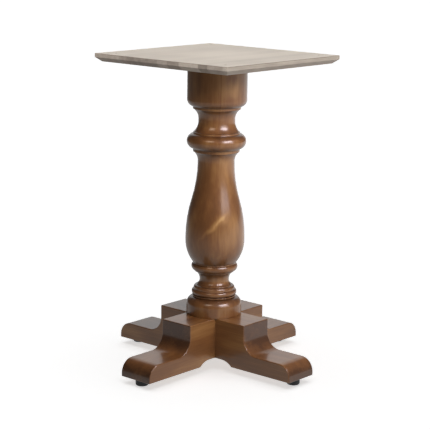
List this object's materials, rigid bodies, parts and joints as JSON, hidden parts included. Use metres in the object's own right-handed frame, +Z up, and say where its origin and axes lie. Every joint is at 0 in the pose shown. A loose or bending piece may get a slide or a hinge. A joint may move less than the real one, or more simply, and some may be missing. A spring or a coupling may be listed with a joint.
{
  "type": "pedestal table base",
  "caption": "Wooden pedestal table base: a square bevelled top plate on a turned baluster column, standing on crossed half-lapped beams with coved feet and black glides.",
  "frame": {"origin": "on the floor, under the column's axis", "axes": "+Z up along the column, +X and +Y along the cross beams"},
  "size_m": [0.534, 0.534, 0.7365],
  "materials": {
    "stained_hardwood": "walnut stain under satin-gloss lacquer",
    "plain_board": "sanded, unstained",
    "beech_dowel": "plain",
    "zinc_steel": "zinc plated",
    "black_nylon": "moulded"
  },
  "bodies": {
    "root": {"top_plate": "plain_board", "plate_screws": "zinc_steel", "screw_plugs": "plain_board", "turned_column": "stained_hardwood", "locating_dowels": "beech_dowel", "upper_cross_beam": "stained_hardwood", "lower_cross_beam": "stained_hardwood", "centre_stud": "zinc_steel", "stud_washer": "zinc_steel", "stud_nut": "zinc_steel", "glide_front": "black_nylon", "glide_right": "black_nylon", "glide_back": "black_nylon", "glide_left": "black_nylon", "glide_screws": "zinc_steel"}
  },
  "joints": []
}
